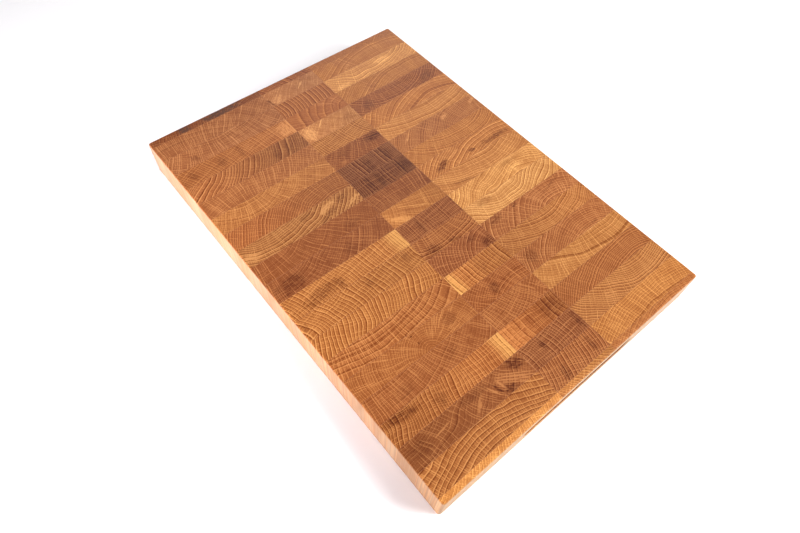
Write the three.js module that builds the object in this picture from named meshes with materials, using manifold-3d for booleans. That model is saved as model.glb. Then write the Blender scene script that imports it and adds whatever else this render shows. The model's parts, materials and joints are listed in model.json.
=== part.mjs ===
// End-grain cutting board in oiled oak.
//
// Three planks are glued edge to edge into a panel, and the panel is cut across into strips. Each strip is
// turned so that its end grain faces up, and the strips are glued side by side. The ends are then trimmed,
// the edges eased, and a finger groove is routed into each end face with a round-nosed cutter.
//
// Frame, in millimetres: X runs along the board from the far end to the near end, Y runs across it from the
// left row to the right row, and Z is up. The origin is the centre of the underside.
import * as THREE from 'three';
import { mergeVertices } from 'three/addons/utils/BufferGeometryUtils.js';
import Module from 'manifold-3d';

const wasm = await Module();
wasm.setup();

// Driving dimensions. The board's length and width are the sum of its pieces and glue lines.
const boardThickness = 43;
const stripCount = 19;
const stripWidth = 25.2;
const farEndStripWidth = 10.6;
const nearEndStripWidth = 6.6;
const leftRowWidth = 143.7;
const middleRowWidth = 74;
const rightRowWidth = 131.9;
const glueThickness = 0.2;
const cornerRadius = 3;
const edgeRadius = 2;
const grooveLength = 150;
const grooveHeight = 18;
const grooveDepth = 13;
const grooveMouthRadius = 1.5;

// How finely the curves are stepped, in steps to a quarter turn
const cornerSteps = 6;
const edgeSteps = 5;
const cutterSteps = 6;
const noseSteps = 6;
const mouthSteps = 3;
const quarterTurn = Math.PI / 2;
const cutterColumns = 4 * cutterSteps;

// How far a cutting shape runs past the wood that it cuts
const overrun = 10;

// Oiled oak runs from pale sapwood to dark heartwood, and the dried glue is a thin brown line.
const woodColours = {
  pale: 0xdb9a60,
  honey: 0xcd8a55,
  amber: 0xc28050,
  brown: 0xb5724a,
  dark: 0xa16443,
  umber: 0x87553d,
};
const woodRoughness = 0.5;
const glueColour = 0x5f3b26;
const glueRoughness = 0.6;

// The tone of each block, from the far end to the near end
const leftRowTones = [
  'brown', 'brown', 'brown', 'brown', 'brown', 'amber', 'brown', 'amber', 'dark', 'dark',
  'amber', 'amber', 'amber', 'brown', 'brown', 'brown', 'brown', 'dark', 'amber',
];
const middleRowTones = [
  'amber', 'brown', 'brown', 'honey', 'amber', 'dark', 'umber', 'umber', 'dark', 'amber',
  'dark', 'brown', 'dark', 'amber', 'brown', 'brown', 'brown', 'dark', 'brown',
];
const rightRowTones = [
  'amber', 'pale', 'amber', 'dark', 'amber', 'honey', 'brown', 'amber', 'amber', 'honey',
  'pale', 'pale', 'brown', 'amber', 'brown', 'honey', 'brown', 'amber', 'honey',
];
const farEndStripTone = 'dark';
const nearEndStripTone = 'pale';

// Joint faces lie on a fine grid that 32-bit numbers hold exactly, so that wood and glue meet face to face.
const gridStepsPerMillimetre = 64;
const onGrid = (value) => Math.round(value * gridStepsPerMillimetre) / gridStepsPerMillimetre;

// The low and high face of each piece in a line of pieces, with glue between neighbours, centred on zero
function pieceFaces(widths) {
  const glueLines = widths.length - 1;
  const total = widths.reduce((sum, width) => sum + width, glueLines * glueThickness);
  let low = -total / 2;
  return widths.map((width) => {
    const piece = { low: onGrid(low), high: onGrid(low + width) };
    low += width + glueThickness;
    return piece;
  });
}

const strips = pieceFaces([farEndStripWidth, ...Array(stripCount).fill(stripWidth), nearEndStripWidth]);
const rows = pieceFaces([leftRowWidth, middleRowWidth, rightRowWidth]);
const farEnd = strips[0];
const nearEnd = strips[stripCount + 1];
const [leftRow, middleRow, rightRow] = rows;
const boardLength = nearEnd.high - farEnd.low;
const boardWidth = rightRow.high - leftRow.low;
const middle = ({ low, high }) => (low + high) / 2;

// A closed three.js geometry as a solid that can be joined and cut
function toSolid(geometry) {
  geometry.deleteAttribute('normal');
  geometry.deleteAttribute('uv');
  const merged = mergeVertices(geometry);
  const vertProperties = new Float32Array(merged.attributes.position.array);
  const triVerts = new Uint32Array(merged.index.array);
  return new wasm.Manifold(new wasm.Mesh({ numProp: 3, vertProperties, triVerts }));
}

// A solid as a named mesh, placed by a centre of its own in the plan
function toMesh(solid, name, material, centreX, centreY) {
  const { vertProperties, triVerts } = solid.getMesh();
  const geometry = new THREE.BufferGeometry();
  geometry.setAttribute('position', new THREE.BufferAttribute(vertProperties, 3));
  geometry.setIndex(new THREE.BufferAttribute(triVerts, 1));
  geometry.translate(-centreX, -centreY, 0);
  geometry.computeVertexNormals();
  const mesh = new THREE.Mesh(geometry, material);
  mesh.name = name;
  mesh.position.set(centreX, centreY, 0);
  return mesh;
}

function oiledOak(tone) {
  return new THREE.MeshStandardMaterial({ color: woodColours[tone], roughness: woodRoughness, metalness: 0 });
}

function driedGlue() {
  return new THREE.MeshStandardMaterial({ color: glueColour, roughness: glueRoughness, metalness: 0 });
}

// A box between two faces along X and two along Y, which stands proud of the board above and below
function columnBox(alongX, alongY) {
  const height = boardThickness + 2 * overrun;
  const box = new THREE.BoxGeometry(alongX.high - alongX.low, alongY.high - alongY.low, height);
  box.translate(middle(alongX), middle(alongY), boardThickness / 2);
  return toSolid(box);
}

// The board's outer form: a slab with rounded corners and eased edges
function easedSlab() {
  const x = boardLength / 2 - cornerRadius;
  const y = boardWidth / 2 - cornerRadius;
  const outline = new THREE.Shape();
  outline.absarc(x, y, cornerRadius, 0, quarterTurn);
  outline.absarc(-x, y, cornerRadius, quarterTurn, 2 * quarterTurn);
  outline.absarc(-x, -y, cornerRadius, 2 * quarterTurn, 3 * quarterTurn);
  outline.absarc(x, -y, cornerRadius, 3 * quarterTurn, 4 * quarterTurn);
  const slab = new THREE.ExtrudeGeometry(outline, {
    depth: boardThickness - 2 * edgeRadius,
    curveSegments: cornerSteps,
    bevelThickness: edgeRadius,
    bevelSize: edgeRadius,
    bevelOffset: -edgeRadius,
    bevelSegments: edgeSteps,
  });
  slab.translate(0, 0, edgeRadius);
  return toSolid(slab);
}

// Half the section of a finger groove, from the bottom of its round nose, along its straight wall, round its
// eased mouth and on past the end face, which is at zero. The stepped cutter's flats cut the full height.
function grooveSection() {
  const nose = grooveHeight / 2;
  const wall = nose / Math.cos(Math.PI / cutterColumns);
  const section = [];
  for (let step = 0; step <= noseSteps; step += 1) {
    const angle = (step / noseSteps) * quarterTurn;
    section.push(new THREE.Vector2(wall * Math.sin(angle), nose * (1 - Math.cos(angle)) - grooveDepth));
  }
  for (let step = 0; step <= mouthSteps; step += 1) {
    const angle = (step / mouthSteps) * quarterTurn;
    const across = wall + grooveMouthRadius * (1 - Math.cos(angle));
    section.push(new THREE.Vector2(across, grooveMouthRadius * (Math.sin(angle) - 1)));
  }
  section.push(new THREE.Vector2(wall + grooveMouthRadius, overrun));
  section.push(new THREE.Vector2(0, overrun));
  return section;
}

// What the cutter clears from an end face that looks along +X: its section is turned about the plunge axis,
// and the two halves of that round form are drawn apart along the groove by the cutter's travel.
function grooveCut() {
  const firstAngle = Math.PI / cutterColumns;
  const section = grooveSection();
  const cut = new THREE.LatheGeometry(section, cutterColumns, firstAngle);
  const travel = grooveLength - grooveHeight;
  const points = cut.attributes.position;
  for (let index = 0; index < points.count; index += 1) {
    const column = Math.floor(index / section.length);
    const side = Math.sign(Math.cos(firstAngle + (column * 2 * Math.PI) / cutterColumns));
    points.setZ(index, points.getZ(index) + (side * travel) / 2);
  }
  const upright = new THREE.Vector3(0, 0, 1);
  const plunge = new THREE.Vector3(1, 0, 0);
  const along = new THREE.Vector3(0, 1, 0);
  cut.applyMatrix4(new THREE.Matrix4().makeBasis(upright, plunge, along));
  cut.translate(boardLength / 2, 0, boardThickness / 2);
  return cut;
}

const nearGroove = toSolid(grooveCut());
const farGroove = toSolid(grooveCut().rotateZ(Math.PI));
const boardForm = easedSlab().subtract(nearGroove).subtract(farGroove);

// Cells of the plan. The outer ones run past the board, so that its own rounded form shapes the outer faces.
const leftCell = { low: leftRow.low - overrun, high: leftRow.high };
const rightCell = { low: rightRow.low, high: rightRow.high + overrun };
const wholeWidth = { low: leftCell.low, high: rightCell.high };
const farEndCell = { low: farEnd.low - overrun, high: farEnd.high };
const nearEndCell = { low: nearEnd.low, high: nearEnd.high + overrun };

// One row of blocks along the board, one block to each full strip
function blockRow(side, row, cell, tones) {
  const group = new THREE.Group();
  for (let strip = 1; strip <= stripCount; strip += 1) {
    const solid = boardForm.intersect(columnBox(strips[strip], cell));
    const name = `${side}_block_${String(strip).padStart(2, '0')}`;
    const tone = tones[(strip - 1) % tones.length];
    group.add(toMesh(solid, name, oiledOak(tone), middle(strips[strip]), middle(row)));
  }
  return group;
}

// A strip that is trimmed thin at an end of the board. Its three blocks are one solid.
function endStrip(name, faces, cell, tone) {
  const solid = boardForm.intersect(columnBox(cell, wholeWidth));
  return toMesh(solid, name, oiledOak(tone), middle(faces), 0);
}

// All the glue in one lattice: a film across the board between each two strips, and one along it between each
// two rows, which ends inside the first and the last film across.
function glueLattice() {
  const films = [];
  for (let strip = 0; strip <= stripCount; strip += 1) {
    films.push(columnBox({ low: strips[strip].high, high: strips[strip + 1].low }, wholeWidth));
  }
  const firstFilm = { low: farEnd.high, high: strips[1].low };
  const lastFilm = { low: strips[stripCount].high, high: nearEnd.low };
  const betweenEnds = { low: middle(firstFilm), high: middle(lastFilm) };
  films.push(columnBox(betweenEnds, { low: leftRow.high, high: middleRow.low }));
  films.push(columnBox(betweenEnds, { low: middleRow.high, high: rightRow.low }));
  return toMesh(boardForm.intersect(wasm.Manifold.union(films)), 'glue_lattice', driedGlue(), 0, 0);
}

const board = new THREE.Group();
board.add(endStrip('far_end_strip', farEnd, farEndCell, farEndStripTone));
board.add(blockRow('left', leftRow, leftCell, leftRowTones));
board.add(blockRow('middle', middleRow, middleRow, middleRowTones));
board.add(blockRow('right', rightRow, rightCell, rightRowTones));
board.add(endStrip('near_end_strip', nearEnd, nearEndCell, nearEndStripTone));
board.add(glueLattice());

export default board;
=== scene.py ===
"""An end-grain cutting board in oiled oak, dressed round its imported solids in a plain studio.

Blender's lengths are in metres. The grain of a block is described in millimetres.
"""
import json
import math

import bmesh
import bpy
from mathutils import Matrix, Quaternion, Vector


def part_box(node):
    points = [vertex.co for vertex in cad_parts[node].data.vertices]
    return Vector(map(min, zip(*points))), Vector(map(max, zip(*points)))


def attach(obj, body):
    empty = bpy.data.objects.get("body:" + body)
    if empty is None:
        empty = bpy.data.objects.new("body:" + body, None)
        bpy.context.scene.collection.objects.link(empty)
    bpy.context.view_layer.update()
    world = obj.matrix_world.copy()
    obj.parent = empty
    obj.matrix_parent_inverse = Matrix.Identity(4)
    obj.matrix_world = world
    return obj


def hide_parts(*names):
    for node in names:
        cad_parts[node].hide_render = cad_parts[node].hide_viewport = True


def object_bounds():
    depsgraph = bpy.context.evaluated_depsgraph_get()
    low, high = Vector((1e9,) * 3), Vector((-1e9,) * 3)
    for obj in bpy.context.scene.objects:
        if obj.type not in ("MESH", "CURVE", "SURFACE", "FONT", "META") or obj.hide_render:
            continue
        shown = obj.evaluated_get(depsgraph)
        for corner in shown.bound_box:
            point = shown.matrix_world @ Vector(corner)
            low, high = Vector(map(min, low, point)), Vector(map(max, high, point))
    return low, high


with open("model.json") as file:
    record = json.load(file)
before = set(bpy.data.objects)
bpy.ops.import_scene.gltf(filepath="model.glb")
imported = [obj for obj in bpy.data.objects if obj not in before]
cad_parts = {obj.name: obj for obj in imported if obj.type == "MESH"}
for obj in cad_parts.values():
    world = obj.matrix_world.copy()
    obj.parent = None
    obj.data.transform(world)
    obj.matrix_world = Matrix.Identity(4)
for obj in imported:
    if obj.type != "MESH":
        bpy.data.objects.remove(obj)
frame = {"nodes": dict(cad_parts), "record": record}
cad_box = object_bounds()

# Left row: nineteen oak blocks, the widest in each strip. Each is a short length of plank set on end, so its
# growth rings and rays show on top. It is glued to the blocks round it, sanded flush and rubbed with oil.
mm = 0.001
body = "root"
slot_of = {part["node"]: part["material_slot"] for part in frame["record"]["subparts"]}
slot_colour = {finish["slot"]: Vector(finish["base_color"]) for finish in frame["record"]["materials"]}

# Oak's tones, as colours and as tints that multiply a colour. Oil deepens the colour of the slot.
white = (1.0, 1.0, 1.0, 1.0)
oil_tint = (0.585, 0.51, 0.335)
oil_cast = Vector((0.0, 0.003, 0.001))
pale_tint = (1.75, 2.20, 2.50)
dark_tint = (0.48, 0.30, 0.16)
straw = Vector((0.50, 0.225, 0.078))
straw_share = 0.2
sapwood_colour = (0.57, 0.275, 0.077, 1.0)
dusk_tint = (0.37, 0.24, 0.18, 1.0)
stain_colour = (0.066, 0.032, 0.022, 1.0)
dark_long_grain = (0.36, 0.212, 0.107, 1.0)
pale_long_grain = (0.44, 0.32, 0.192, 1.0)
long_grain_share = 0.6
oil_gloss = 0.2

# A finger groove's mouth in the end faces. Its walls get painted shade, darker and browner than the sanded
# faces round them.
end_face = cad_box[1][0]
groove_half_length = 76 * mm
groove_low = 11 * mm
groove_high = 32 * mm
groove_edge = 0.5 * mm
groove_shade_tint = (0.48, 0.40, 0.34, 1.0)


class Value:
    """An output of a shader node. Python's operators on it add Math nodes, and node() adds any other node."""

    def __init__(self, tree, socket=None):
        self.tree = tree
        self.socket = socket

    def node(self, kind, output=0, settings=None, inputs=None):
        """One output of a new node, whose settings are made first, then its sockets' numbers or links."""
        made = self.tree.nodes.new(kind)
        for name, setting in (settings or {}).items():
            setattr(made, name, setting)
        for name, given in (inputs or {}).items():
            if isinstance(given, Value):
                self.tree.links.new(given.socket, made.inputs[name])
            else:
                made.inputs[name].default_value = given
        return Value(self.tree, made.outputs[output])

    def output(self, name):
        """Another output of the same node."""
        return Value(self.tree, self.socket.node.outputs[name])

    def math(self, operation, first, second=0.0):
        """A Math node on one or two values or numbers."""
        return self.node("ShaderNodeMath", 0, {"operation": operation}, {0: first, 1: second})

    def __add__(self, other):
        return self.math("ADD", self, other)

    def __sub__(self, other):
        return self.math("SUBTRACT", self, other)

    def __rsub__(self, other):
        return self.math("SUBTRACT", other, self)

    def __mul__(self, other):
        return self.math("MULTIPLY", self, other)

    def __truediv__(self, other):
        return self.math("DIVIDE", self, other)

    def __neg__(self):
        return self.math("MULTIPLY", self, -1.0)

    def __abs__(self):
        return self.math("ABSOLUTE", self)

    __radd__ = __add__
    __rmul__ = __mul__


def rise(value, low, high):
    """A smooth step: 0 up to low, 1 from high on."""
    limits = {"Value": value, "From Min": low, "From Max": high}
    return value.node("ShaderNodeMapRange", 0, {"interpolation_type": "SMOOTHSTEP"}, limits)


def mixed(share, first, second):
    """Two colours mixed, the second by its share. At least one of the three is a Value."""
    known = next(given for given in (share, first, second) if isinstance(given, Value))
    settings = {"data_type": "RGBA", "clamp_factor": True}
    return known.node("ShaderNodeMix", 2, settings, {0: share, 6: first, 7: second})


def vectors(operation, first, second, third=(0.0, 0.0, 0.0)):
    """Vector maths on two or three vectors."""
    inputs = {0: first, 1: second, 2: third}
    return first.node("ShaderNodeVectorMath", 0, {"operation": operation}, inputs)


def length(vector):
    """How long a vector is."""
    return vector.node("ShaderNodeVectorMath", "Value", {"operation": "LENGTH"}, {0: vector})


def split(vector):
    """The X, Y and Z of a vector."""
    x = vector.node("ShaderNodeSeparateXYZ", "X", None, {0: vector})
    return x, x.output("Y"), x.output("Z")


def scaled(colour, shade):
    """A colour made lighter or darker."""
    return colour.node("ShaderNodeVectorMath", 0, {"operation": "SCALE"}, {0: colour, "Scale": shade})


def shaded(colour, share, tint):
    """A colour multiplied by a tint, by its share."""
    return vectors("MULTIPLY", colour, mixed(share, white, tint))


def cloud(place, seed, size, detail=1.0):
    """Soft noise from 0 to 1 whose lumps are about size across."""
    inputs = {"Vector": place, "W": seed, "Scale": 1.0 / size, "Detail": detail}
    return place.node("ShaderNodeTexNoise", 0, {"noise_dimensions": "4D"}, inputs)


def drift(value, detail=0.0):
    """Soft noise from 0 to 1 along a line, with a new lump at each whole number."""
    inputs = {"W": value, "Scale": 1.0, "Detail": detail}
    return value.node("ShaderNodeTexNoise", 0, {"noise_dimensions": "1D"}, inputs)


def lines(place, gap, thin, thick, stretch):
    """Lines at random places along a value, and a chance for each line.

    They lie a gap apart where the stretch is 1, and spread as it grows. They keep their thickness, and some
    of them begin only where there is room.
    """
    inputs = {"W": place / gap, "Scale": 1.0, "Randomness": 0.9}
    distance = place.node("ShaderNodeTexVoronoi", "Distance", {"voronoi_dimensions": "1D"}, inputs)
    chance = distance.node("ShaderNodeSeparateColor", "Red", None, {0: distance.output("Color")})
    begun = rise(stretch - 0.9 * chance.output("Green"), 0.0, 0.2)
    return (1 - rise(gap * distance * stretch, thin, thick)) * begun, chance


def rgba(colour):
    """A colour as Blender's sockets take it, kept under pure white."""
    return (*(min(channel, 0.95) for channel in colour), 1.0)


def tinted(colour, tint):
    """A plain colour multiplied by a tint."""
    return Vector(channel * share for channel, share in zip(colour, tint))


def new_finish(name):
    """A new material, its shader, and a first Value among its nodes."""
    material = bpy.data.materials.new(name)
    material.use_nodes = True
    return material, material.node_tree.nodes["Principled BSDF"], Value(material.node_tree)


def feed(shader, values):
    """Links values to a shader's sockets by their names."""
    for name, value in values.items():
        value.tree.links.new(value.socket, shader.inputs[name])


def trunk_place(place, centre, pith):
    """Where a point lies in the trunk, in millimetres from the pith, with X towards the block's centre."""
    towards_block = math.atan2(-pith[1], -pith[0])
    pith_place = (centre.x + pith[0] * mm, centre.y + pith[1] * mm, 0.0)
    axes = {"Vector": place, "Location": pith_place, "Rotation": (0, 0, towards_block), "Scale": (mm, mm, mm)}
    return place.node("ShaderNodeMapping", 0, {"vector_type": "TEXTURE"}, axes)


def growth_rings(radius, mottle, seed, ring, even):
    """The pale early wood and the dark late wood of each year, from 0 to about 1.

    A year's number is the radius over the ring's width, moved by slow noise so that the years' widths differ.
    The more even the wood is, the more alike the years are in width and in strength.
    """
    wander = 3.2 - 2.4 * even
    years = radius / ring + wander * drift(radius / (5 * ring) + seed)
    part = years.math("FRACT", years)
    year = years.math("FLOOR", years)
    chance = year.node("ShaderNodeTexWhiteNoise", "Value", {"noise_dimensions": "1D"}, {"W": year + seed})
    least = 0.15 + 0.85 * even
    strength = (least + (1 - even) * chance * chance) * (0.4 + 1.2 * mottle)
    early_wood = (1 - rise(part, 0.06, 0.28)) * strength
    late_wood = rise(part, 0.66, 0.97) * strength
    return early_wood, late_wood


def wood_rays(radius, angle, height, reach, seed):
    """Rays as lines of equal angle round the pith: many fine short ones, and a few broad long ones.

    They lie a gap apart at the radius of the block's centre, or farther out if the pith is in the block.
    """
    gap_radius = max(reach, 45.0)
    around = angle * gap_radius
    stretch = radius / gap_radius
    fine_line, fine_chance = lines(around + seed, gap=1.9, thin=0.10, thick=0.36, stretch=stretch)
    dash_place = {"X": radius / 9, "Y": 60 * fine_chance, "Z": height / 14}
    dash = cloud(radius.node("ShaderNodeCombineXYZ", 0, None, dash_place), seed, size=1.0)
    fine = fine_line * fine_chance * rise(dash, 0.30, 0.55)
    broad_line, broad_chance = lines(around + seed + 31, gap=5.5, thin=0.10, thick=0.34, stretch=stretch)
    broad = broad_line * broad_chance * rise(drift(radius / 26 + 90 * broad_chance), 0.36, 0.52)
    return fine, broad


def torn_oval(place, fibre, seed, centre, offset, half_size, turn):
    """About 1 in an oval and 0 outside it, with a torn edge, and broken into flecks along its length.

    Its offset from the block's centre and its half size are in millimetres, and its turn is in degrees.
    """
    middle = (centre.x + offset[0] * mm, centre.y + offset[1] * mm, 0.0)
    axes = {"Vector": place, "Location": middle, "Rotation": (0, 0, math.radians(turn)),
            "Scale": (half_size[0] * mm, half_size[1] * mm, 1.0)}
    oval = place.node("ShaderNodeMapping", 0, {"vector_type": "TEXTURE"}, axes)
    oval = vectors("MULTIPLY", oval, (1.0, 1.0, 0.0))
    torn = length(oval) + 1.2 * (cloud(fibre, seed + 17, size=4.0, detail=2.0) - 0.5)
    fleck_size = (6.0, 0.9) if half_size[0] > half_size[1] else (0.9, 6.0)
    fleck_scale = (half_size[0] / fleck_size[0], half_size[1] / fleck_size[1], 0.0)
    flecks = cloud(vectors("MULTIPLY", oval, fleck_scale), seed + 19, size=1.0)
    return (0.4 + 1.2 * rise(flecks, 0.35, 0.65)) * (1 - rise(torn, 0.35, 1.15))


def inside_groove(x, y, z):
    """1 on the walls of the finger grooves, where shade is painted, and 0 on the faces round them."""
    cut = 1 - rise(abs(x), end_face - 0.6 * mm, end_face - 0.1 * mm)
    along = 1 - rise(abs(y), groove_half_length - groove_edge, groove_half_length + groove_edge)
    above = rise(z, groove_low - groove_edge, groove_low + groove_edge)
    below = 1 - rise(z, groove_high - groove_edge, groove_high + groove_edge)
    return cut * along * above * below


def oiled_oak(name, tone, centre, half_row, routed, pith, ring=2.8, bold=0.5, even=0.4, late=1.0, rays=0.6,
              wave=1.5, light=1.0, grey_and_sheen=0.0, red=0.0, ends=(1.0, 1.0), sap=0.0, bands=(), patches=(),
              stains=(), side=0.0):
    """Oak that varies across the trunk and hardly along it, so tops show rings and sides show streaks.

    The first five say what the block is: its name, its slot's colour, its centre, half the width of its row,
    and whether a finger groove is routed into it, whose walls then get painted shade. The others are its own
    grain, with lengths in millimetres:
    pith is the trunk's centre from the block's centre, and ring is the width of a year's growth
    bold, late and rays are how strongly the rings, their late wood and the rays show
    even is how alike the years are, and wave is how far the rings bend
    light, grey_and_sheen and red make the wood lighter, greyer and redder, the greying partly a painted sheen
    of the oil, and ends are its lightness right and left sap is the depth of pale sapwood at the end farthest
    from the pith bands are dark rings, each an offset from the block's centre, a half width and a depth
    patches are ovals, each an offset, a half size, a turn and a depth, pale above zero and dark below it
    stains are nearly black ovals, and side is how far the long grain leans to its paler tone, which on the
    near strips is a painted highlight on their lit end face
    """
    material, shader, surface = new_finish(name)
    place = surface.node("ShaderNodeTexCoord", "Object")
    x, y, z = split(place)

    # A number of the block's own, which moves all its noise
    seed = 7.31 * pith[0] + 3.17 * pith[1] + 400 * centre.x + 900 * centre.y

    # The radius from the pith and the way round it, bent by slow and by quick noise
    trunk = trunk_place(place, centre, pith)
    fibre = vectors("MULTIPLY", trunk, (1.0, 1.0, 0.06))
    mottle = cloud(fibre, seed + 9, size=15.0, detail=3.0)
    slow = cloud(fibre, seed, size=38.0).output("Color")
    quick = cloud(fibre, seed + 5, size=6.0, detail=2.0).output("Color")
    slow_bend = (6 * wave, 6 * wave, 0.0)
    quick_bend = (1.4, 1.4, 0.0)
    bent = vectors("MULTIPLY_ADD", slow, slow_bend, trunk)
    bent = vectors("MULTIPLY_ADD", quick, quick_bend, bent)
    radius = length(vectors("MULTIPLY", bent, (1.0, 1.0, 0.0)))
    ahead, aside, _ = split(bent)
    angle = ahead.math("ARCTAN2", aside, ahead)
    height = split(trunk)[2]
    reach = math.hypot(*pith)

    # Rings, rays, and pores, which are small dark holes in the early wood
    early_wood, late_wood = growth_rings(radius, mottle, seed, ring, even)
    fine, broad = wood_rays(radius, angle, height, reach, seed)
    pore_place = {"Vector": vectors("MULTIPLY", trunk, (1.0, 1.0, 0.04)), "Scale": 1.8}
    pore_distance = trunk.node("ShaderNodeTexVoronoi", "Distance", None, pore_place)
    pores = (1 - rise(pore_distance, 0.12, 0.36)) * early_wood

    def oval(offset, half_size, turn):
        return torn_oval(place, fibre, seed, centre, offset, half_size, turn)

    # How far the end grain is lifted from the wood's own colour to a pale one, or dropped to a dark one
    speck = cloud(fibre, seed + 13, size=1.3)
    broad_bands = drift(radius / 9 + seed + 50, detail=1.0)
    ring_lift = bold * (2.0 * early_wood - 1.8 * late * late_wood)
    ray_lift = rays * (1.6 * fine + 2.4 * broad)
    uneven = 0.8 * mottle + 1.2 * speck + 0.5 * broad_bands - 1.33
    lift = ring_lift + ray_lift - 0.4 * pores + uneven
    for offset, half_width, depth in bands:
        away = abs(radius - (reach + offset))
        lift = lift - depth * (1 - rise(away, 0.4 * half_width, 1.3 * half_width))
    for offset, half_size, turn, depth in patches:
        if depth > 0:
            lift = lift + depth * oval(offset, half_size, turn)

    # Colour on the end grain
    # The grey cast is partly the wood's own greyer tone and partly a painted sheen of the oil
    cast = (1.0, (1 + 0.3 * grey_and_sheen) * (1 - red), (1 + grey_and_sheen) * (1 - red))
    wood = light * tinted(tinted(tone, oil_tint), cast) - oil_cast
    pale_wood = (1 - straw_share) * tinted(wood, pale_tint) + straw_share * light * straw
    colour = mixed(lift, rgba(wood), rgba(pale_wood))
    colour = mixed(-lift, colour, rgba(tinted(wood, dark_tint)))
    for offset, half_size, turn, depth in patches:
        if depth < 0:
            colour = shaded(colour, -0.6 * depth * oval(offset, half_size, turn), dusk_tint)
    if sap:
        far_end = math.copysign(half_row, -pith[1])
        bark = math.hypot(pith[0], pith[1] - far_end) + 3 * wave
        sapwood = rise(radius, bark - 6 * sap, bark - 0.6 * sap)
        colour = mixed((0.75 + 0.4 * lift) * sapwood, colour, sapwood_colour)
    # Painted shade on the groove's walls: a darker, browner tint where the finger groove is cut
    if routed:
        colour = shaded(colour, inside_groove(x, y, z), groove_shade_tint)
    for offset, half_size, turn in stains:
        colour = mixed(0.75 * oval(offset, half_size, turn), colour, stain_colour)
    fade_half = 60 * mm
    across = {"Value": y, "From Min": centre.y - fade_half, "From Max": centre.y + fade_half,
              "To Min": ends[1], "To Max": ends[0]}
    colour = scaled(colour, y.node("ShaderNodeMapRange", 0, {"interpolation_type": "SMOOTHSTEP"}, across))

    # Long grain on the sides is paler, with fine upright streaks, and each block's leans to a tone of its
    # own. The near strips lean further, a painted highlight on the lit near end.
    upright = split(surface.node("ShaderNodeTexCoord", "Normal"))[2]
    end_grain = rise(abs(upright), 0.35, 0.85)
    streak = cloud(vectors("MULTIPLY", trunk, (1.0, 1.0, 0.025)), seed + 21, size=1.8)
    lean = rise(streak, 0.36, 0.64) + (side + 0.3 * math.sin(seed))
    long_grain = mixed(long_grain_share, colour, mixed(lean, dark_long_grain, pale_long_grain))
    colour = mixed(end_grain, long_grain, colour)

    roughness = 0.36 + 0.16 * mottle + 0.10 * early_wood
    relief = 0.5 * fine - 0.8 * pores - 0.4 * late_wood
    bump = relief.node("ShaderNodeBump", 0, None, {"Height": relief, "Strength": 0.25, "Distance": 0.1 * mm})
    feed(shader, {"Base Color": colour, "Roughness": roughness, "Normal": bump})
    shader.inputs["Specular IOR Level"].default_value = oil_gloss
    return material


def sanded_piece(name, node, cuts=()):
    """A copy of a node's mesh as a piece: merged, its flat faces joined, and its eased edges smooth.

    Cuts are a low and a high Y. The copy is cut there and closed, so that the part between them is left.
    """
    merge_distance = 0.001 * mm
    flat_angle = math.radians(0.2)
    eased_angle = math.radians(40)
    work = bmesh.new()
    work.from_mesh(frame["nodes"][node].data)
    bmesh.ops.remove_doubles(work, verts=work.verts, dist=merge_distance)
    for side, y in zip((-1, 1), cuts):
        everything = [*work.verts, *work.edges, *work.faces]
        plane = {"plane_co": (0, y, 0), "plane_no": (0, side, 0), "clear_outer": True}
        bmesh.ops.bisect_plane(work, geom=everything, **plane)
        bmesh.ops.holes_fill(work, edges=[edge for edge in work.edges if edge.is_boundary])
    bmesh.ops.dissolve_limit(work, angle_limit=flat_angle, verts=work.verts, edges=work.edges)
    mesh = bpy.data.meshes.new(name)
    work.to_mesh(mesh)
    work.free()
    mesh.shade_smooth()
    mesh.set_sharp_from_angle(angle=eased_angle)
    piece = bpy.data.objects.new(name, mesh)
    bpy.context.scene.collection.objects.link(piece)
    smoothing = piece.modifiers.new("even_shading", "WEIGHTED_NORMAL")
    smoothing.keep_sharp = True
    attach(piece, body)
    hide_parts(node)
    return piece


def dress_in_oak(piece, slot, centre, half_row, routed, grain):
    """Gives a piece an oak of its own in its slot's colour."""
    oak = oiled_oak(piece.name, slot_colour[slot], centre, half_row, routed, **grain)
    piece.data.materials.append(oak)


def oak_row(row, blocks):
    """Dresses a row of blocks, from the far end to the near end, each with its own grain."""
    for number, grain in enumerate(blocks, start=1):
        node = f"{row}_block_{number:02d}"
        low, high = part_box(node)
        piece = sanded_piece(f"{row}_oak_{number:02d}", node)
        half_row = (high.y - low.y) / 2 / mm
        routed = number in (1, len(blocks))
        dress_in_oak(piece, slot_of[node], (low + high) / 2, half_row, routed, grain)


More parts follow.
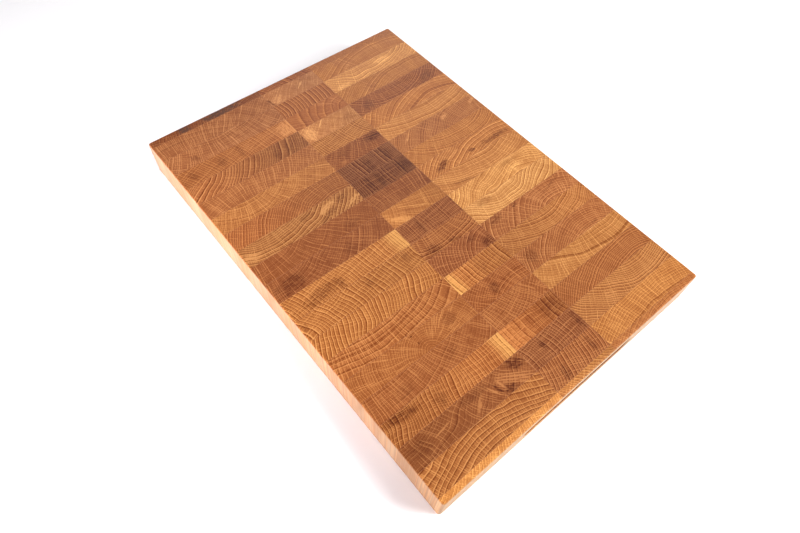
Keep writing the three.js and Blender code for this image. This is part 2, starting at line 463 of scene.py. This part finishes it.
oak_row("left", [
    dict(pith=(102, -58), ring=4.2, bold=0.25, rays=1.0, light=0.97, grey_and_sheen=0.3,
         patches=[((-4, -48), (5, 22), 0, -0.35)]),
    dict(pith=(-106, 5), ring=3.0, bold=0.4, rays=1.0, grey_and_sheen=0.3,
         patches=[((4, -41), (4, 9), -30, -0.6), ((5, 8), (9, 0.6), 3, 2.2), ((5, -8), (9, 0.5), 3, 1.6)]),
    dict(pith=(45, -170), ring=3.2, bold=0.55, even=0.6, rays=0.9, light=0.98, red=-0.03, ends=(1.1, 0.98),
         patches=[((0, 71), (16, 1.2), 0, 2.6), ((2, 63), (14, 11), 0, 1.0), ((0, 4), (13, 4), 0, -0.5),
                  ((0, -20), (10, 8), 0, -0.55), ((0, -56), (9, 5), 20, -0.6)]),
    dict(pith=(-76, -103), ring=3.8, bold=0.9, even=0.35, rays=0.5, grey_and_sheen=0.1, red=-0.03, ends=(0.8, 1.08),
         patches=[((2, 50), (12, 5), -20, -0.5), ((2, 34), (12, 4), -20, -0.5)]),
    dict(pith=(96, -32), ring=3.4, bold=0.35, rays=1.0, light=1.01, grey_and_sheen=0.12, red=-0.03),
    dict(pith=(-48, -20), ring=3.0, bold=0.4, rays=1.0, grey_and_sheen=0.1),
    dict(pith=(67, 47), ring=2.5, bold=0.8, even=0.5, rays=0.6, light=0.95, ends=(0.88, 1.1)),
    dict(pith=(-75, -20), ring=3.8, bold=1.3, even=0.4, rays=0.9, wave=3.0, light=0.86, grey_and_sheen=0.2,
         patches=[((5, 62), (3, 13), 20, 1.6), ((-4, 34), (4, 15), 20, 1.5), ((3, -62), (7, 12), -20, 0.9),
                  ((-5, 54), (5, 10), 20, -0.7), ((6, 30), (4, 16), 20, -0.6), ((-6, 8), (4, 10), 0, -0.6)]),
    dict(pith=(-77, -49), ring=2.4, bold=0.35, rays=1.0, grey_and_sheen=-0.1, patches=[((4, 42), (8, 12), 0, -0.4)]),
    dict(pith=(-78, -49), ring=3.2, bold=0.45, rays=1.0, light=0.97, grey_and_sheen=-0.05, red=0.02,
         patches=[((2, -50), (12, 20), 0, -0.8), ((3, 22), (8, 10), 30, -0.4)]),
    dict(pith=(35, -190), ring=3.6, bold=0.85, even=0.6, rays=0.9, sap=3.5, ends=(1.05, 1.0),
         patches=[((3, -34), (9, 24), 6, -0.8), ((5, -11), (8, 6), 0, -0.7)]),
    dict(pith=(38, -190), ring=4.2, bold=0.85, even=0.6, rays=0.9, wave=2.0, light=0.96, ends=(0.97, 1.05),
         patches=[((-4, 59), (8, 5), 0, -0.6), ((-3, 12), (8, 7), 20, -0.6), ((-2, -66), (7, 3), 0, -0.6)]),
    dict(pith=(-85, -190), ring=3.9, bold=0.8, even=0.7, rays=0.7, wave=2.5, light=1.04),
    dict(pith=(-136, -10), ring=6.0, bold=0.4, even=0.5, late=1.5, rays=1.1, light=1.1, grey_and_sheen=-0.04,
         red=-0.04, bands=[(5, 0.7, 0.7)]),
    dict(pith=(12.4, 5), ring=2.4, bold=0.42, even=0.7, rays=0.9, light=1.05, grey_and_sheen=-0.04, red=-0.04,
         patches=[((-2, 46), (9, 9), 30, -0.5), ((-9.3, 4.6), (0.9, 1.3), 0, -3.0),
                  ((0, 6), (1.5, 0.6), 0, -2.4)]),
    dict(pith=(-125, -39), ring=3.4, bold=0.4, rays=1.1, light=0.91, red=0.03,
         patches=[((3, -34), (8, 14), 0, -0.45), ((0, 22), (8, 12), 20, -0.35)]),
    dict(pith=(-35, -180), ring=3.6, bold=0.9, even=0.5, rays=1.0, wave=2.5, light=1.05, grey_and_sheen=-0.12,
         red=-0.05, ends=(1.14, 0.88), sap=3,
         patches=[((-8, -50), (6, 22), -6, -0.9), ((2, -14), (10, 7), 0, -0.6),
                  ((0, 18), (14, 20), 0, 0.25)]),
    dict(pith=(-130, -68), ring=2.8, bold=0.4, even=0.4, rays=1.1, wave=2.5, light=0.95, grey_and_sheen=-0.1,
         red=-0.02, ends=(1.1, 0.94),
         patches=[((2.0, 57.0), (0.5, 20), -32, 3.4), ((4.3, 55.5), (0.6, 24), -32, 4.0),
                  ((6.6, 54.0), (0.5, 24), -32, 3.6), ((9.0, 52.5), (0.5, 16), -32, 3.2),
                  ((4, 50), (7, 24), -32, 0.15),
                  ((-6, 61), (7, 11), -30, -1.2), ((9, 43), (6, 8), -30, -1.2), ((3, 38), (9, 1.3), 15, 1.6),
                  ((3, 33), (9, 1.6), 20, -1.5), ((2, 28), (9, 1.3), 25, 1.4), ((2, 10), (2, 12), 40, 0.8),
                  ((-2, -30), (0.9, 11), 8, 1.8), ((0, -56), (11, 14), 0, -0.4),
                  ((-7, 12), (5, 20), 0, -0.5)]),
    dict(pith=(141, -8), ring=4.6, bold=0.75, even=0.5, rays=1.0, wave=2.5, light=0.93, red=0.03),
])

# Middle row: nineteen narrower blocks, cut from a second plank beside the first. Several are dark heartwood,
# and one shows pale sapwood at its left end. The finger grooves cut into both ends of the row.
oak_row("middle", [
    dict(pith=(-75, 75), ring=4.5, bold=0.15, rays=0.45, light=1.04, grey_and_sheen=0.55, red=0.07, ends=(0.95, 1.08),
         patches=[((-1, 10), (0.7, 9), 45, 2.4), ((-3, 14), (0.6, 6), 45, 2.0), ((6, -24), (9, 9), 30, 0.4),
                  ((5, -35), (9, 2.0), 12, -1.4), ((-2, 16), (10, 16), 30, -0.3)]),
    dict(pith=(0, -75), ring=5.0, bold=0.8, even=0.6, rays=0.3, light=1.01),
    dict(pith=(23, 26), ring=13.0, bold=0.3, even=0.5, late=1.2, rays=0.5, wave=3.0, light=1.07),
    dict(pith=(-55, 55), ring=4.5, bold=0.18, rays=0.5, light=0.98, grey_and_sheen=0.42, red=0.06, ends=(0.92, 1.15),
         patches=[((-8, -8), (0.8, 7), 45, 3.0), ((0, -27), (14, 10), 0, 0.6), ((4, 26), (8, 10), 0, -0.3)]),
    dict(pith=(-25, 95), ring=2.8, bold=1.1, even=0.7, rays=1.4, light=0.95),
    dict(pith=(-90, 60), ring=2.6, bold=1.1, even=0.6, rays=1.5, light=0.91, grey_and_sheen=-0.15, red=0.05,
         patches=[((-5, 27), (7, 14), 0, -1.2), ((8, -22), (4, 6), 0, 0.6), ((-4, -14), (6, 12), 0, -0.4)]),
    dict(pith=(-10, 160), ring=3.2, bold=1.3, even=0.3, rays=0.9, light=0.98, grey_and_sheen=-0.1, red=0.06,
         patches=[((0, 22), (13, 8), 0, -0.7), ((2, -4), (12, 8), 0, -0.7)]),
    dict(pith=(5, 110), ring=2.8, bold=1.7, even=0.3, rays=1.0, light=0.86, grey_and_sheen=-0.16, red=0.08,
         patches=[((0, 28), (14, 10), 0, -0.9), ((0, -6), (14, 5), 0, -0.8), ((0, -19), (14, 4), 0, -0.6)]),
    dict(pith=(135, -12), ring=2.6, bold=0.55, even=0.5, rays=1.3, light=0.88, grey_and_sheen=-0.08, red=0.04,
         patches=[((0, -26), (11, 0.7), 10, 2.6), ((0, -18), (11, 0.5), 3, 1.8)]),
    dict(pith=(-35, -75), ring=3.2, bold=0.4, rays=1.0, light=0.97, ends=(0.9, 1.1),
         patches=[((7, -24), (6, 18), -30, 0.9), ((0, -2), (0.7, 18), -28, 2.2),
                  ((0, 14), (12, 0.5), -18, 1.8)]),
    dict(pith=(5, -110), ring=2.9, bold=1.0, even=0.5, rays=1.5, light=0.91, red=0.05,
         patches=[((0, -13), (12, 4), 0, -0.7), ((0, -10.5), (12, 0.5), 0, 2.0)]),
    dict(pith=(-60, 2), ring=2.8, bold=1.1, even=0.5, rays=1.2, wave=3.0, light=0.92,
         patches=[((7, -22), (7, 12), 0, -1.0), ((9, 3), (3, 9), -15, -0.9)]),
    dict(pith=(30, 32), ring=3.2, bold=0.7, even=0.5, rays=1.0, light=1.08, red=0.03,
         patches=[((7, 30), (8, 10), 0, -1.0), ((-6, 18), (5, 9), 20, -0.6)]),
    dict(pith=(-12, 140), ring=4.4, bold=0.8, even=0.5, late=1.3, rays=0.9, sap=2.4, light=0.95, red=0.05,
         ends=(0.82, 1.25), patches=[((0, 2), (13, 8), 0, -0.35)]),
    dict(pith=(66, 20), ring=2.6, bold=0.6, even=0.6, rays=1.3, light=0.88, grey_and_sheen=-0.06, red=0.06,
         patches=[((0, 23), (12, 0.7), 8, 2.4), ((1, -4), (7, 6), 0, -1.0)]),
    dict(pith=(-141, -51), ring=2.8, bold=0.5, even=0.5, rays=1.4, light=0.91, red=0.03,
         patches=[((0, -33), (12, 0.6), 8, 2.0)]),
    dict(pith=(4, 85), ring=4.4, bold=0.45, even=0.3, late=1.8, rays=0.8, light=0.96, grey_and_sheen=-0.16, red=0.02,
         ends=(0.78, 1.2),
         patches=[((0, 24), (13, 14), 0, -0.55), ((0, -34), (26, 30), 0, 0.6)]),
    dict(pith=(8, -170), ring=3.4, bold=1.0, even=0.6, rays=1.5, light=0.95, red=0.03,
         patches=[((0, 33), (13, 4), 0, -0.8), ((-4, -13), (8, 4), 0, -0.9)]),
    dict(pith=(-40, -120), ring=3.4, bold=1.4, even=0.6, rays=1.3, light=0.91, red=0.02,
         patches=[((5, -17), (9, 5), -15, -0.8), ((0, 24), (12, 3), 0, -0.7)]),
])

# Right row: nineteen blocks from a third plank, mostly honey-coloured. The planks are slash cut, so the rings
# run as long upright arcs, and neighbours that were turned over mirror each other.
oak_row("right", [
    dict(pith=(113, 20), ring=3.2, bold=0.45, rays=0.4, light=1.05),
    dict(pith=(-70, 5), ring=4.5, bold=0.45, rays=0.35, wave=3.0, light=1.12, grey_and_sheen=0.26, red=0.03,
         patches=[((-3, 17), (6, 14), 0, 0.45), ((8, -50), (4, 14), 0, 0.4), ((-7, 46), (5, 14), 10, -0.4)]),
    dict(pith=(119, 32), ring=3.0, bold=0.6, rays=0.4),
    dict(pith=(-62, -2), ring=2.8, bold=0.75, even=0.5, rays=0.8, light=1.02, grey_and_sheen=-0.1, red=0.04,
         patches=[((4, 44), (8, 20), 20, -0.6), ((2, -46), (9, 10), 30, -0.5), ((-6, 15), (4, 16), 0, -0.4)]),
    dict(pith=(96, 26), ring=4.5, bold=0.5, rays=0.4, light=1.11, bands=[(-4, 2.0, 0.5)]),
    dict(pith=(-150, 15), ring=4.5, bold=0.42, rays=0.4, light=1.1, grey_and_sheen=0.16, red=-0.01,
         bands=[(-5, 1.6, 0.5)]),
    dict(pith=(75, 45), ring=2.2, bold=0.7, rays=0.6, light=1.05, grey_and_sheen=0.08, red=-0.04,
         patches=[((-5, 58), (3, 7), 20, 0.9), ((-4, 12), (3, 6), 20, 0.9), ((-4, -44), (2, 12), 35, 0.6)]),
    dict(pith=(-72, 15), ring=2.6, bold=0.75, even=0.5, rays=0.6, light=1.05),
    dict(pith=(110, 30), ring=3.4, bold=0.7, rays=0.5, light=1.12, grey_and_sheen=0.07,
         patches=[((5, 2), (3, 7), 0, -1.4), ((3, -42), (5, 14), 20, -1.4), ((6, 38), (5, 28), 0, -1.0),
                  ((-2, -22), (2, 16), 15, 0.5)]),
    dict(pith=(-120, 10), ring=3.6, bold=0.6, rays=0.5, light=1.08, grey_and_sheen=0.2,
         patches=[((8, -38), (3, 18), -15, -0.6)]),
    dict(pith=(95, 12), ring=3.6, bold=0.6, even=0.4, rays=0.35, wave=4.0, light=1.13, grey_and_sheen=0.25,
         patches=[((4, 22), (5, 18), 10, 0.4), ((-7, 20), (4, 16), 0, -0.5)]),
    dict(pith=(-85, -2), ring=4.4, bold=0.6, even=0.3, late=1.2, rays=0.4, wave=3.0, light=1.14, grey_and_sheen=0.38,
         patches=[((-7, -40), (5, 13), 0, -0.6)]),
    dict(pith=(45, 20), ring=4.2, bold=0.6, rays=1.1, light=1.12, grey_and_sheen=0.2, ends=(1.02, 0.92),
         patches=[((-8, -48), (6, 12), 0, -0.8), ((-9, -18), (3, 6), 0, -0.8),
                  ((-4, 32), (2, 18), 12, -0.6)]),
    dict(pith=(-82, 5), ring=2.5, bold=0.8, even=0.5, rays=0.7, light=1.0, grey_and_sheen=0.18, red=0.03,
         ends=(1.08, 0.94)),
    dict(pith=(50, 14), ring=2.5, bold=0.8, even=0.5, rays=0.7, light=1.05, grey_and_sheen=0.16, ends=(1.05, 0.96),
         patches=[((-2, -52), (10, 9), 0, -0.7), ((9, 30), (2, 20), 0, -0.5)]),
    dict(pith=(-135, 43), ring=2.8, bold=0.5, rays=0.8, light=0.99, grey_and_sheen=0.2, bands=[(9, 1.6, 0.8)]),
    dict(pith=(112, 28), ring=2.2, bold=1.0, even=0.7, rays=0.6, light=0.95),
    dict(pith=(-83, 37), ring=2.5, bold=1.05, even=0.7, rays=0.7, grey_and_sheen=0.16,
         patches=[((2, -22), (5, 10), -30, 0.5)]),
    dict(pith=(170, 0), ring=2.4, bold=0.6, even=0.6, rays=1.1, bands=[(-3, 1.0, 0.7)]),
])

# End strips: at each end of the board, a strip of three oak blocks that was trimmed thin after the glue-up.
# The finger groove runs right through them. Each block is cut from its strip at the row's own joints.
row_edges = {}
for row in ("left", "middle", "right"):
    low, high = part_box(f"{row}_block_10")
    row_edges[row] = (low.y, high.y)
past_board = 200 * mm


def end_strip(end, blocks):
    """Cuts the strip at an end of the board into its three blocks, each with its own slot and grain."""
    node = f"{end}_end_strip"
    low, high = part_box(node)
    for row, (slot, grain) in blocks.items():
        first, last = row_edges[row]
        low_cut = -past_board if row == "left" else first
        high_cut = past_board if row == "right" else last
        piece = sanded_piece(f"{end}_end_{row}_oak", node, (low_cut, high_cut))
        centre = Vector(((low.x + high.x) / 2, (first + last) / 2, 0))
        half_row = (last - first) / 2 / mm
        dress_in_oak(piece, slot, centre, half_row, routed=True, grain=grain)


end_strip("far", {
    "left": ("oak_dark", dict(pith=(40, 60), ring=3.0, bold=0.6, rays=0.8, light=0.84, red=0.06,
                              stains=[((0, 18), (8, 31), 0), ((0, -29), (7, 9), 0)])),
    "middle": ("oak_brown", dict(pith=(35, -90), ring=3.4, bold=0.8, rays=0.3, light=0.87, red=0.08)),
    "right": ("oak_amber", dict(pith=(60, -40), ring=3.0, bold=0.4, rays=0.5, light=0.88, red=0.08)),
})
# The near strips' long grain leans paler by side: a painted highlight on the brightly lit near end
end_strip("near", {
    "left": ("oak_pale", dict(pith=(-60, -90), ring=2.8, bold=0.4, rays=0.4, light=1.23, side=0.6)),
    "middle": ("oak_honey", dict(pith=(-50, 60), ring=2.8, bold=0.9, rays=0.6, ends=(0.82, 1.12), side=0.6)),
    "right": ("oak_amber", dict(pith=(120, 10), ring=2.8, bold=0.45, rays=0.7, light=0.95, red=0.06,
                               side=0.4)),
})

# Glue: waterproof wood glue in every joint, squeezed to a film and sanded flush, so that only a fine brown
# line shows. The film between the rows goes on through the end strips, in short slips of the same glue.
glue_colour = slot_colour["glue"]
lump_size = 9 * mm


def dried_glue(name):
    """Brown glue, slightly uneven in colour and gloss."""
    material, shader, surface = new_finish(name)
    lumps = cloud(surface.node("ShaderNodeTexCoord", "Object"), seed=3.0, size=lump_size, detail=2.0)
    colour = mixed(lumps, rgba(1.3 * glue_colour), rgba(2.6 * glue_colour))
    feed(shader, {"Base Color": colour, "Roughness": 0.45 + 0.25 * lumps})
    return material


glue_film = dried_glue("dried_glue")
lattice = frame["nodes"]["glue_lattice"]
lattice.data.materials.clear()
lattice.data.materials.append(glue_film)
for end in ("far", "near"):
    for joint, (first, second) in {"left": ("left", "middle"), "right": ("middle", "right")}.items():
        slip_edges = (row_edges[first][1], row_edges[second][0])
        slip = sanded_piece(f"{end}_end_{joint}_glue", f"{end}_end_strip", slip_edges)
        slip.data.materials.append(glue_film)

# Studio: a wide sheet of white paper under the board, a pale surround that is dimmer overhead, and four soft
# lamps. Two are high, over the near right corner and beyond the far right one. Two lower ones light the left
# side and the near end, and don't show in the gloss of the oil.
floor_half = 30.0
paper_white = (0.95, 0.95, 0.95, 1.0)
surround_colour = (1.0, 0.96, 1.0, 1.0)
horizon_glow = 0.32
overhead_glow = 0.05

floor_mesh = bpy.data.meshes.new("floor")
corners = [(x * floor_half, y * floor_half, 0) for x, y in ((-1, -1), (1, -1), (1, 1), (-1, 1))]
floor_mesh.from_pydata(corners, [], [(0, 1, 2, 3)])
floor = bpy.data.objects.new("floor", floor_mesh)
bpy.context.scene.collection.objects.link(floor)
paper, paper_shader = new_finish("white_paper")[:2]
paper_shader.inputs["Base Color"].default_value = paper_white
paper_shader.inputs["Roughness"].default_value = 0.9
floor_mesh.materials.append(paper)

surround = bpy.data.worlds.new("white_surround")
surround.use_nodes = True
background = surround.node_tree.nodes["Background"]
steepness = split(Value(surround.node_tree).node("ShaderNodeTexCoord", "Generated"))[2]
glow_range = {"Value": steepness, "From Min": 0.6, "From Max": 0.95, "To Min": horizon_glow,
              "To Max": overhead_glow}
glow = steepness.node("ShaderNodeMapRange", 0, None, glow_range)
background.inputs["Color"].default_value = surround_colour
feed(background, {"Strength": glow})
bpy.context.scene.world = surround


def soft_lamp(name, place, aim, width, power, colour=(1.0, 1.0, 1.0), mirrored=True):
    """A square lamp at a place, turned to face a point, which glossy faces mirror or don't."""
    lamp = bpy.data.lights.new(name, "AREA")
    lamp.shape = "SQUARE"
    lamp.size = width
    lamp.energy = power
    lamp.color = colour
    stand = bpy.data.objects.new(name, lamp)
    stand.location = place
    stand.rotation_mode = "QUATERNION"
    stand.rotation_quaternion = (Vector(aim) - Vector(place)).to_track_quat("-Z", "Y")
    stand.visible_glossy = mirrored
    bpy.context.scene.collection.objects.link(stand)


soft_lamp("near_right_lamp", place=(0.9, 0.75, 1.4), aim=(0, 0, 0.02), width=0.7, power=21.0)
soft_lamp("left_lamp", place=(-0.13, -0.65, 0.17), aim=(-0.03, -0.15, 0.0), width=0.25, power=7.4,
          colour=(1.0, 0.93, 1.0), mirrored=False)
soft_lamp("near_lamp", place=(1.3, 0.9, 0.75), aim=(0.2, 0, 0.02), width=0.8, power=32.5, mirrored=False)
soft_lamp("back_lamp", place=(-1.4, 1.1, 1.2), aim=(-0.1, 0.1, 0.04), width=1.2, power=14.0)

# Camera: above the near left corner, looking down at the board, with a slight tilt of the frame
sensor_width = 36.0
lens = 26.74
camera_place = Vector((0.2865, -0.2779, 0.5450))
camera_aim = Vector((0.0535, -0.0566, 0.0430))
camera_roll = math.radians(4.4)
camera_data = bpy.data.cameras.new("camera")
camera_data.sensor_width = sensor_width
camera_data.lens = lens
camera = bpy.data.objects.new("camera", camera_data)
camera.location = camera_place
camera.rotation_mode = "QUATERNION"
level = (camera_aim - camera_place).to_track_quat("-Z", "Y")
camera.rotation_quaternion = level @ Quaternion((0, 0, 1), camera_roll)
bpy.context.scene.collection.objects.link(camera)
bpy.context.scene.camera = camera
bpy.context.scene.view_settings.view_transform = "Standard"

bpy.context.view_layer.update()
